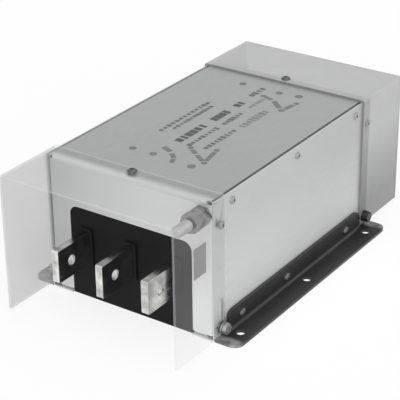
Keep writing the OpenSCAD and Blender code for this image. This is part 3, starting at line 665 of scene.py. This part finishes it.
def add_earth_studs():
    """Studs with a cut thread, each with its flat head behind the end plate."""
    finish = plated_fixing("stud_zinc", (0.48, 0.48, 0.475), roughness=0.45, metallic=0.6)
    for end, sign in (("front", -1), ("rear", 1)):
        node = "earth_stud_" + end
        low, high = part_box(node)
        plate_low, plate_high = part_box(end + "_end_plate")
        tip, head_end = (low[1], high[1]) if sign < 0 else (high[1], low[1])
        seat = (plate_low[1] if sign < 0 else plate_high[1]) - sign * STUD_HEAD_SEAT
        x = (low[0] + high[0]) / 2
        z = (low[2] + high[2]) / 2

        def build(bm):
            add_threaded_shaft(bm, x, z, tip, seat, sign)
            middle = Matrix.Translation((x, (head_end + seat) / 2, z))
            along_y = Matrix.Rotation(math.pi / 2, 4, "X")
            add_disc(bm, STUD_HEAD_SIDES, (high[0] - low[0]) / 2, abs(head_end - seat), middle @ along_y)

        name = node + "_threaded"
        piece = add_piece(name, mesh_from(name, build), finish)
        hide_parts(node)


# ---------- screw recesses ----------

def islands(node):
    """Boxes of the separate solids in a node's mesh."""
    bm = bmesh.new()
    bm.from_mesh(node.data)
    seen = set()
    boxes = []
    for start in bm.verts:
        if start in seen:
            continue
        seen.add(start)
        found = [start]
        for vert in found:
            for edge in vert.link_edges:
                other = edge.other_vert(vert)
                if other not in seen:
                    seen.add(other)
                    found.append(other)
        low = Vector(min(v.co[i] for v in found) for i in range(3))
        high = Vector(max(v.co[i] for v in found) for i in range(3))
        boxes.append((low, high))
    bm.free()
    return boxes


def add_cross(bm, centre, outward, arm):
    """Two crossed bars that lie square to the outward direction."""
    side = Vector((0, 0, 1)) if abs(outward.z) < 0.5 else Vector((1, 0, 0))
    basis = Matrix((side, outward.cross(side), outward)).transposed().to_4x4()
    for first, second in ((arm, RECESS_BAR), (RECESS_BAR, arm)):
        size = Matrix.Diagonal(Vector((2 * first, 2 * second, RECESS_THICK))).to_4x4()
        bmesh.ops.create_cube(bm, size=1, matrix=Matrix.Translation(centre) @ basis @ size)


def add_recesses(nodes):
    """Black crosses in the domed screw heads, painted shade for their cross recesses."""
    finish = moulded_black("recess_shadow")
    sideways, upwards = 0, 2
    for name, axis, arm in (("cover_screws", sideways, 1.5), ("rail_screws", sideways, 1.9),
                            ("hood_side_screws", sideways, 1.5), ("hood_top_screws", upwards, 1.9)):
        boxes = islands(nodes[name])

        def build(bm):
            for low, high in boxes:
                centre = (low + high) / 2
                sign = 1 if axis == upwards or centre.x > 0 else -1
                outward = Vector((0, 0, 0))
                outward[axis] = sign
                centre[axis] = (high if sign > 0 else low)[axis] - sign * RECESS_THICK * RECESS_SUNK
                add_cross(bm, centre, outward, arm * MM)

        piece_name = name + "_recesses"
        add_piece(piece_name, mesh_from(piece_name, build), finish)


# ---------- grey field -----

def add_hood_grey_field():
    """Bare grey field on the outside of the front hood's right side sheet."""
    low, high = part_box("front_hood")
    front = low[1] + GREY_FIELD_SETBACK

    def build(bm):
        add_slab(bm, (high[0] - GREY_FIELD_THICK, front, GREY_FIELD_FOOT), (high[0], front + GREY_FIELD_LENGTH, GREY_FIELD_HEAD))

    add_piece("hood_grey_field", mesh_from("hood_grey_field", build), label_vinyl("label_vinyl"))


# ---------- studio ----------

def show_white(tree, surface, emitter, share, output):
    """Mixes plain white into a surface for the camera and for what mirrors or passes the view."""
    nodes = NodeTree(tree)
    path = nodes.add("ShaderNodeLightPath").outputs
    seen = nodes.maths("MAXIMUM", path["Is Camera Ray"], path["Is Glossy Ray"])
    seen = nodes.maths("MAXIMUM", seen, path["Is Transmission Ray"])
    white = nodes.add(emitter, {"Color": (1, 1, 1, 1), "Strength": 1.0}).outputs[0]
    mix = nodes.add("ShaderNodeMixShader", {0: nodes.maths("MULTIPLY", seen, share), 1: surface, 2: white})
    nodes.feed(tree.nodes[output].inputs["Surface"], mix.outputs["Shader"])


def add_floor():
    bpy.ops.mesh.primitive_plane_add(size=FLOOR_WIDTH)
    floor = bpy.context.object
    floor.name = "floor"
    floor.location = (0, 0, -FLOOR_DROP)
    material = bpy.data.materials.new("floor_paper")
    material.use_nodes = True
    shader = material.node_tree.nodes["Principled BSDF"]
    shader.inputs["Base Color"].default_value = (0.95, 0.95, 0.95, 1)
    shader.inputs["Roughness"].default_value = 0.9
    shader.inputs["Specular IOR Level"].default_value = 0.1
    show_white(material.node_tree, shader.outputs["BSDF"], "ShaderNodeEmission", FLOOR_WHITE_SHARE,
               "Material Output")
    floor.data.materials.append(material)


def add_world():
    world = bpy.data.worlds.new("studio_air")
    bpy.context.scene.world = world
    world.use_nodes = True
    background = world.node_tree.nodes["Background"]
    background.inputs["Color"].default_value = (1, 1, 1, 1)
    background.inputs["Strength"].default_value = WORLD_STRENGTH
    show_white(world.node_tree, background.outputs["Background"], "ShaderNodeBackground", WORLD_WHITE_SHARE,
               "World Output")


def add_sun(name, toward, strength, angle):
    data = bpy.data.lights.new(name, "SUN")
    data.energy = strength
    data.angle = math.radians(angle)
    lamp = bpy.data.objects.new(name, data)
    bpy.context.scene.collection.objects.link(lamp)
    lamp.rotation_euler = Vector(toward).to_track_quat("Z", "Y").to_euler()


def add_lights():
    """A broad low key from the front right and a weaker one from above."""
    add_sun("key_light", (0.5875, -0.70, 0.407), strength=2.2, angle=80)
    add_sun("top_light", (0.1, 0.25, 1.0), strength=0.85, angle=60)


def add_camera():
    level = math.cos(CAMERA_ELEVATION)
    away = Vector((math.sin(CAMERA_AZIMUTH) * level, -math.cos(CAMERA_AZIMUTH) * level,
                   math.sin(CAMERA_ELEVATION)))
    data = bpy.data.cameras.new("camera")
    data.sensor_width = CAMERA_SENSOR
    data.lens = CAMERA_LENS
    camera = bpy.data.objects.new("camera", data)
    bpy.context.scene.collection.objects.link(camera)
    camera.location = CAMERA_TARGET + CAMERA_DISTANCE * away
    turn = away.to_track_quat("Z", "Y").to_matrix() @ Matrix.Rotation(CAMERA_ROLL, 3, "Z")
    camera.rotation_euler = turn.to_euler()
    bpy.context.scene.camera = camera


def main():
    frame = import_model()
    nodes = frame["nodes"]
    for dress_part in (dress_case, dress_terminals, dress_hoods, dress_fixings, dress_inside):
        dress_part(nodes)
    add_cover_print()
    add_earth_studs()
    add_recesses(nodes)
    add_hood_grey_field()
    add_floor()
    add_world()
    add_lights()
    add_camera()
    bpy.context.scene.view_settings.view_transform = "Standard"


main()
